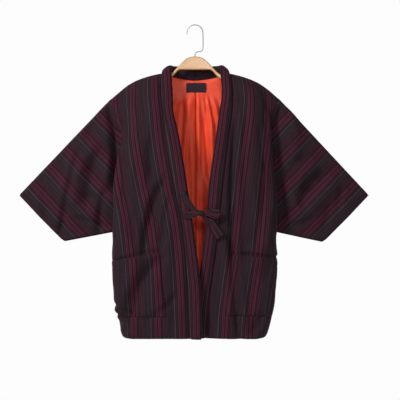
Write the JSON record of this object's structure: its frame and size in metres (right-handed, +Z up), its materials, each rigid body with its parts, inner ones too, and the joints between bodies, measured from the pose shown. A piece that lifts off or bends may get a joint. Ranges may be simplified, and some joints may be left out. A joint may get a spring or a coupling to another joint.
{
  "type": "hanten on a hanger",
  "caption": "Padded Japanese short coat with a stitched neck band, short wide sleeves, patch pockets and a tied chest cord, on a wooden hanger.",
  "frame": {"origin": "under the crown of the hanger's hook, where it bears on a rail", "axes": "+X to the right as seen from the front, +Z up, the front of the coat faces -Y"},
  "size_m": [1.012, 0.1473, 0.9185],
  "materials": {
    "striped_cotton": "matte, woven stripes",
    "lining": "smooth, slight sheen",
    "label": "matte woven tape",
    "beech": "satin varnish",
    "steel": "bright zinc"
  },
  "bodies": {
    "root": {"body_left": "striped_cotton", "body_right": "striped_cotton", "sleeve_left": "striped_cotton", "sleeve_right": "striped_cotton", "collar_left": "striped_cotton", "collar_right": "striped_cotton", "lining_left": "lining", "lining_right": "lining", "pocket_left": "striped_cotton", "pocket_right": "striped_cotton", "tie_left": "striped_cotton", "tie_right": "striped_cotton", "bow_loop_left": "striped_cotton", "bow_loop_right": "striped_cotton", "tie_tail": "striped_cotton", "knot": "striped_cotton", "label": "label", "hanger_wood": "beech", "hanger_hook": "steel"}
  },
  "joints": []
}
